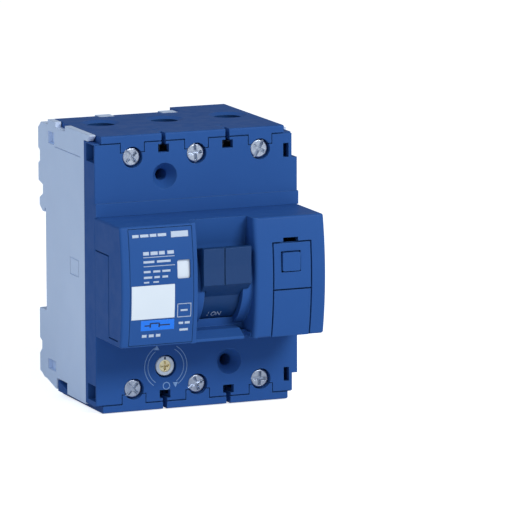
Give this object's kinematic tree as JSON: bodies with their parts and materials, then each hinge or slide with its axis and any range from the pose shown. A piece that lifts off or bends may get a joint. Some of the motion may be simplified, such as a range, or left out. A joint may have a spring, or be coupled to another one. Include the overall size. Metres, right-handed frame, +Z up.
{
  "type": "modular circuit breaker",
  "caption": "Modular circuit breaker for a mounting rail: toggle lever, screw terminals with cages, rail clip with turn lock, push-to-trip button and working contact gear inside.",
  "frame": {"origin": "middle of the rail seat: on the plane of the rail's front face, at the rail's centre line and the middle of the width", "axes": "+Z up, +X to the right seen from the front, the front faces -Y"},
  "size_m": [0.081, 0.0884, 0.104],
  "materials": {
    "housing_blue": "fine grained moulding",
    "lever_blue": "fine grain",
    "casing_grey": "satin moulding",
    "print_white": "smooth",
    "tile_blue": "smooth",
    "fault_red": "smooth",
    "zinc_steel": "zinc plated",
    "yellow_zinc": "yellow passivated zinc",
    "steel_inner": "plain",
    "copper": "bare copper",
    "inner_moulding": "dark moulding"
  },
  "bodies": {
    "case": {"front_housing": "housing_blue", "rear_casing": "casing_grey", "nose_fascia": "housing_blue", "upper_terminal_cover": "housing_blue", "lower_terminal_cover": "housing_blue", "nameplate": "housing_blue", "circuit_label": "print_white", "symbol_tile": "tile_blue", "accessory_door_upper": "housing_blue", "accessory_door_lower": "housing_blue", "button_spring": "steel_inner", "lever_pin": "steel_inner", "mechanism_frame": "steel_inner", "case_screws": "zinc_steel", "line_strip_1": "copper", "load_strip_1": "copper", "arc_chute_1": "steel_inner", "magnetic_coil_1": "copper", "magnet_core_1": "steel_inner", "bimetal_strip_1": "steel_inner", "line_strip_2": "copper", "load_strip_2": "copper", "arc_chute_2": "steel_inner", "magnetic_coil_2": "copper", "magnet_core_2": "steel_inner", "bimetal_strip_2": "steel_inner", "line_strip_3": "copper", "load_strip_3": "copper", "arc_chute_3": "steel_inner", "magnetic_coil_3": "copper", "magnet_core_3": "steel_inner", "bimetal_strip_3": "steel_inner"},
    "lever": {"toggle_lever": "lever_blue"},
    "link": {"drive_link": "steel_inner"},
    "carrier": {"contact_carrier": "inner_moulding", "moving_contact_1": "copper", "moving_contact_2": "copper", "moving_contact_3": "copper"},
    "indicator": {"indicator_shutter": "print_white", "indicator_fault_leaf": "fault_red"},
    "button": {"push_to_trip_button": "housing_blue"},
    "tripper": {"trip_bar": "inner_moulding"},
    "lock": {"rail_lock_knob": "print_white", "rail_lock_spindle": "yellow_zinc"},
    "clip": {"rail_clip": "inner_moulding"},
    "screw_upper_1": {"terminal_screw_upper_1": "zinc_steel"},
    "cage_upper_1": {"terminal_cage_upper_1": "zinc_steel"},
    "screw_upper_2": {"terminal_screw_upper_2": "zinc_steel"},
    "cage_upper_2": {"terminal_cage_upper_2": "zinc_steel"},
    "screw_upper_3": {"terminal_screw_upper_3": "zinc_steel"},
    "cage_upper_3": {"terminal_cage_upper_3": "zinc_steel"},
    "screw_lower_1": {"terminal_screw_lower_1": "zinc_steel"},
    "cage_lower_1": {"terminal_cage_lower_1": "zinc_steel"},
    "screw_lower_2": {"terminal_screw_lower_2": "zinc_steel"},
    "cage_lower_2": {"terminal_cage_lower_2": "zinc_steel"},
    "screw_lower_3": {"terminal_screw_lower_3": "zinc_steel"},
    "cage_lower_3": {"terminal_cage_lower_3": "zinc_steel"}
  },
  "joints": [
    {"name": "lever_turn", "type": "hinge", "parent": "case", "child": "lever", "pos_m": [0.0008, -0.0583, -0.0019], "axis": [1, 0, 0], "range_deg": [0, 40]},
    {"name": "link_turn", "type": "hinge", "parent": "lever", "child": "link", "pos_m": [0.0008, -0.0533, -0.0019], "axis": [1, 0, 0], "range_deg": [-41, 1]},
    {"name": "carrier_turn", "type": "hinge", "parent": "case", "child": "carrier", "pos_m": [0, -0.0225, -0.007], "axis": [1, 0, 0], "range_deg": [-20.2, 1]},
    {"name": "indicator_turn", "type": "hinge", "parent": "case", "child": "indicator", "pos_m": [-0.016, 0.0319, -0.0004], "axis": [1, 0, 0], "range_deg": [-0.2, 3.91]},
    {"name": "button_press", "type": "slide", "parent": "case", "child": "button", "axis": [0, 1, 0], "range_m": [0, 0.002], "stiffness_N_per_m": 300, "springref_m": -0.002, "deforming": ["button_spring"]},
    {"name": "trip_bar_turn", "type": "hinge", "parent": "case", "child": "tripper", "pos_m": [0, -0.038, -0.024], "axis": [1, 0, 0], "range_deg": [-4.5, 0.5]},
    {"name": "lock_turn", "type": "hinge", "parent": "case", "child": "lock", "pos_m": [-0.01275, -0.051, -0.0359], "axis": [0, 1, 0], "range_deg": [-2, 182]},
    {"name": "rail_clip_slide", "type": "slide", "parent": "case", "child": "clip", "axis": [0, 0, -1], "range_m": [0, 0.003]},
    {"name": "terminal_screw_turn_upper_1", "type": "hinge", "parent": "case", "child": "screw_upper_1", "pos_m": [-0.0255, -0.05, 0.0436], "axis": [0, 1, 0], "range_deg": [-5, 2165]},
    {"name": "cage_slide_upper_1", "type": "slide", "parent": "case", "child": "cage_upper_1", "axis": [0, -1, 0], "range_m": [0, 0.006]},
    {"name": "terminal_screw_turn_upper_2", "type": "hinge", "parent": "case", "child": "screw_upper_2", "pos_m": [0, -0.05, 0.0436], "axis": [0, 1, 0], "range_deg": [-5, 2165]},
    {"name": "cage_slide_upper_2", "type": "slide", "parent": "case", "child": "cage_upper_2", "axis": [0, -1, 0], "range_m": [0, 0.006]},
    {"name": "terminal_screw_turn_upper_3", "type": "hinge", "parent": "case", "child": "screw_upper_3", "pos_m": [0.0255, -0.05, 0.0436], "axis": [0, 1, 0], "range_deg": [-5, 2165]},
    {"name": "cage_slide_upper_3", "type": "slide", "parent": "case", "child": "cage_upper_3", "axis": [0, -1, 0], "range_m": [0, 0.006]},
    {"name": "terminal_screw_turn_lower_1", "type": "hinge", "parent": "case", "child": "screw_lower_1", "pos_m": [-0.0255, -0.05, -0.0436], "axis": [0, 1, 0], "range_deg": [-5, 2165]},
    {"name": "cage_slide_lower_1", "type": "slide", "parent": "case", "child": "cage_lower_1", "axis": [0, -1, 0], "range_m": [0, 0.006]},
    {"name": "terminal_screw_turn_lower_2", "type": "hinge", "parent": "case", "child": "screw_lower_2", "pos_m": [0, -0.05, -0.0436], "axis": [0, 1, 0], "range_deg": [-5, 2165]},
    {"name": "cage_slide_lower_2", "type": "slide", "parent": "case", "child": "cage_lower_2", "axis": [0, -1, 0], "range_m": [0, 0.006]},
    {"name": "terminal_screw_turn_lower_3", "type": "hinge", "parent": "case", "child": "screw_lower_3", "pos_m": [0.0255, -0.05, -0.0436], "axis": [0, 1, 0], "range_deg": [-5, 2165]},
    {"name": "cage_slide_lower_3", "type": "slide", "parent": "case", "child": "cage_lower_3", "axis": [0, -1, 0], "range_m": [0, 0.006]}
  ],
  "couplings": [
    {"joint": "link_turn", "follows": "lever_turn", "ratio": -1},
    {"joint": "carrier_turn", "follows": "lever_turn", "ratio": -0.48},
    {"joint": "indicator_turn", "follows": "lever_turn", "ratio": 0.09274},
    {"joint": "trip_bar_turn", "follows": "button_press", "rad_per_m": -34.5},
    {"joint": "lock_turn", "follows": "rail_clip_slide", "rad_per_m": 1047.2},
    {"joint": "terminal_screw_turn_upper_1", "follows": "cage_slide_upper_1", "rad_per_m": 6283.2},
    {"joint": "terminal_screw_turn_upper_2", "follows": "cage_slide_upper_2", "rad_per_m": 6283.2},
    {"joint": "terminal_screw_turn_upper_3", "follows": "cage_slide_upper_3", "rad_per_m": 6283.2},
    {"joint": "terminal_screw_turn_lower_1", "follows": "cage_slide_lower_1", "rad_per_m": 6283.2},
    {"joint": "terminal_screw_turn_lower_2", "follows": "cage_slide_lower_2", "rad_per_m": 6283.2},
    {"joint": "terminal_screw_turn_lower_3", "follows": "cage_slide_lower_3", "rad_per_m": 6283.2}
  ]
}
